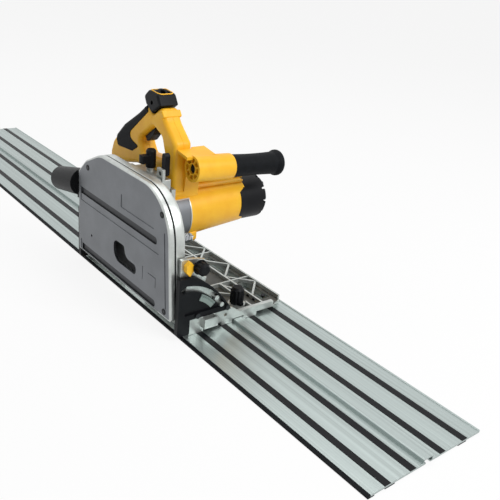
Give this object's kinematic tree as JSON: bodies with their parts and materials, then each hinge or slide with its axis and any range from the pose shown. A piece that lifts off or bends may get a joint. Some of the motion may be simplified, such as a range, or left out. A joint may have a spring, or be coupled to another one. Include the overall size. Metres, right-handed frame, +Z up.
{
  "type": "track plunge saw",
  "caption": "Track plunge saw on an aluminium guide rail: parallel-link plunge, tilting guard, geared spindle, ribbed shoe, loop handle and front handle.",
  "frame": {"origin": "on the table, under the middle of the rail's rib, half way along the rail", "axes": "+X along the rail in the direction of the cut, +Y to the motor side, +Z up"},
  "size_m": [1.5, 0.2501, 0.3149],
  "materials": {
    "rail_alloy": "brushed",
    "shoe_alloy": "cast, satin",
    "guard_silver": "cast, satin",
    "cover_grey": "satin metallic grey",
    "gear_alloy": "cast",
    "housing_yellow": "satin",
    "black_plastic": "satin",
    "rubber": "matte",
    "scale_grey": "satin",
    "steel": "ground",
    "dark_steel": "blackened",
    "copper": "bare",
    "brass": "bare",
    "carbon": "matte",
    "fan_plastic": "matte"
  },
  "bodies": {
    "rail": {"guide_rail": "rail_alloy", "glide_strips": "black_plastic", "splinter_guard": "rubber", "grip_strips": "rubber"},
    "shoe": {"shoe": "shoe_alloy", "front_bevel_bracket": "black_plastic", "rear_bevel_bracket": "black_plastic", "bevel_scale": "scale_grey", "bracket_screws": "dark_steel"},
    "front_adjuster": {"front_rail_adjuster": "black_plastic"},
    "rear_adjuster": {"rear_rail_adjuster": "black_plastic"},
    "head": {"guard_housing": "guard_silver", "guard_cover": "cover_grey", "guard_seal": "rubber", "cover_screws": "dark_steel", "dust_spout": "black_plastic", "front_tilt_sector": "guard_silver", "rear_tilt_sector": "guard_silver", "bevel_pointer": "housing_yellow", "link_pins": "steel", "return_spring": "steel"},
    "front_clamp": {"front_bevel_knob": "black_plastic"},
    "rear_clamp": {"rear_bevel_knob": "black_plastic"},
    "lower_link": {"lower_link": "steel"},
    "upper_link": {"upper_link": "steel"},
    "motor_unit": {"gear_case": "gear_alloy", "gear_plate": "gear_alloy", "carrier_pins": "steel", "motor_housing": "housing_yellow", "end_cap": "black_plastic", "handle_left_shell": "housing_yellow", "handle_right_shell": "housing_yellow", "handle_grip": "rubber", "handle_block": "black_plastic", "cord_inlet": "rubber", "front_handle": "rubber", "stator": "dark_steel", "field_coils": "copper", "ball_bearings": "steel", "brush_holders": "brass", "carbon_brushes": "carbon", "housing_screws": "dark_steel", "power_switch": "black_plastic"},
    "trigger": {"trigger": "black_plastic"},
    "release_button": {"plunge_release": "black_plastic"},
    "speed_dial": {"speed_dial": "black_plastic"},
    "lock_lever": {"blade_lock_lever": "black_plastic"},
    "depth_knob": {"depth_knob": "black_plastic"},
    "blade_shaft": {"spindle": "steel", "drive_gear": "steel", "inner_flange": "dark_steel", "blade": "steel", "outer_flange": "dark_steel", "clamp_screw": "dark_steel"},
    "armature": {"armature_shaft": "steel", "armature_core": "dark_steel", "commutator": "copper", "cooling_fan": "fan_plastic"},
    "idler": {"idler_gear": "steel"}
  },
  "joints": [
    {"name": "rail_travel", "type": "slide", "parent": "rail", "child": "shoe", "axis": [1, 0, 0], "range_m": [-0.81, 0.35]},
    {"name": "front_adjust", "type": "hinge", "parent": "shoe", "child": "front_adjuster", "pos_m": [0.364, 0.0185, 0.0125], "axis": [0, 0, 1], "range_deg": [-60, 60]},
    {"name": "rear_adjust", "type": "hinge", "parent": "shoe", "child": "rear_adjuster", "pos_m": [0.096, 0.0185, 0.0125], "axis": [0, 0, 1], "range_deg": [-60, 60]},
    {"name": "bevel", "type": "hinge", "parent": "shoe", "child": "head", "pos_m": [0.23, -0.1002, 0], "axis": [1, 0, 0], "range_deg": [0, 47]},
    {"name": "front_clamp_turn", "type": "hinge", "parent": "head", "child": "front_clamp", "pos_m": [0.3949, -0.0775, 0.1115], "axis": [1, 0, 0], "range_deg": [-170, 170]},
    {"name": "rear_clamp_turn", "type": "hinge", "parent": "head", "child": "rear_clamp", "pos_m": [0.0841, -0.0775, 0.1115], "axis": [1, 0, 0], "range_deg": [-170, 170]},
    {"name": "plunge", "type": "hinge", "parent": "head", "child": "lower_link", "pos_m": [0.3553, -0.089, 0.0685], "axis": [0, -1, 0], "range_deg": [0, 55.64], "stiffness_Nm_per_rad": 2.5, "springref_deg": -108.86},
    {"name": "upper_swing", "type": "hinge", "parent": "head", "child": "upper_link", "pos_m": [0.3553, -0.089, 0.1385], "axis": [0, -1, 0], "range_deg": [0, 55.64]},
    {"name": "carrier", "type": "hinge", "parent": "lower_link", "child": "motor_unit", "pos_m": [0.2757, -0.089, 0.1105], "axis": [0, -1, 0], "range_deg": [-55.64, 0]},
    {"name": "trigger_pull", "type": "hinge", "parent": "motor_unit", "child": "trigger", "pos_m": [0.21055, -0.04, 0.25796], "axis": [0, 1, 0], "range_deg": [0, 12], "stiffness_Nm_per_rad": 0.6, "springref_deg": -11.46},
    {"name": "release_press", "type": "slide", "parent": "motor_unit", "child": "release_button", "axis": [0, -1, 0], "range_m": [0, 0.003], "stiffness_N_per_m": 400, "springref_m": -0.002},
    {"name": "speed_turn", "type": "hinge", "parent": "motor_unit", "child": "speed_dial", "pos_m": [0.259, 0.12, 0.144], "axis": [0, 1, 0], "range_deg": [-150, 150]},
    {"name": "blade_lock", "type": "hinge", "parent": "motor_unit", "child": "lock_lever", "pos_m": [0.284, -0.0687, 0.2105], "axis": [0, 1, 0], "range_deg": [0, 45]},
    {"name": "depth_turn", "type": "hinge", "parent": "motor_unit", "child": "depth_knob", "pos_m": [0.242, -0.068, 0.2145], "axis": [0, 0, 1], "range_deg": [-60, 60]},
    {"name": "blade_spin", "type": "hinge", "parent": "motor_unit", "child": "blade_shaft", "pos_m": [0.246, -0.1002, 0.1125], "axis": [0, 1, 0], "continuous": true},
    {"name": "armature_spin", "type": "hinge", "parent": "motor_unit", "child": "armature", "pos_m": [0.259, 0.02, 0.144], "axis": [0, 1, 0], "continuous": true},
    {"name": "idler_spin", "type": "hinge", "parent": "motor_unit", "child": "idler", "pos_m": [0.26896, -0.0695, 0.13022], "axis": [0, 1, 0], "continuous": true}
  ],
  "couplings": [
    {"joint": "upper_swing", "follows": "plunge", "ratio": 1},
    {"joint": "carrier", "follows": "plunge", "ratio": -1},
    {"joint": "armature_spin", "follows": "blade_spin", "ratio": 3},
    {"joint": "idler_spin", "follows": "blade_spin", "ratio": -1.6364}
  ]
}
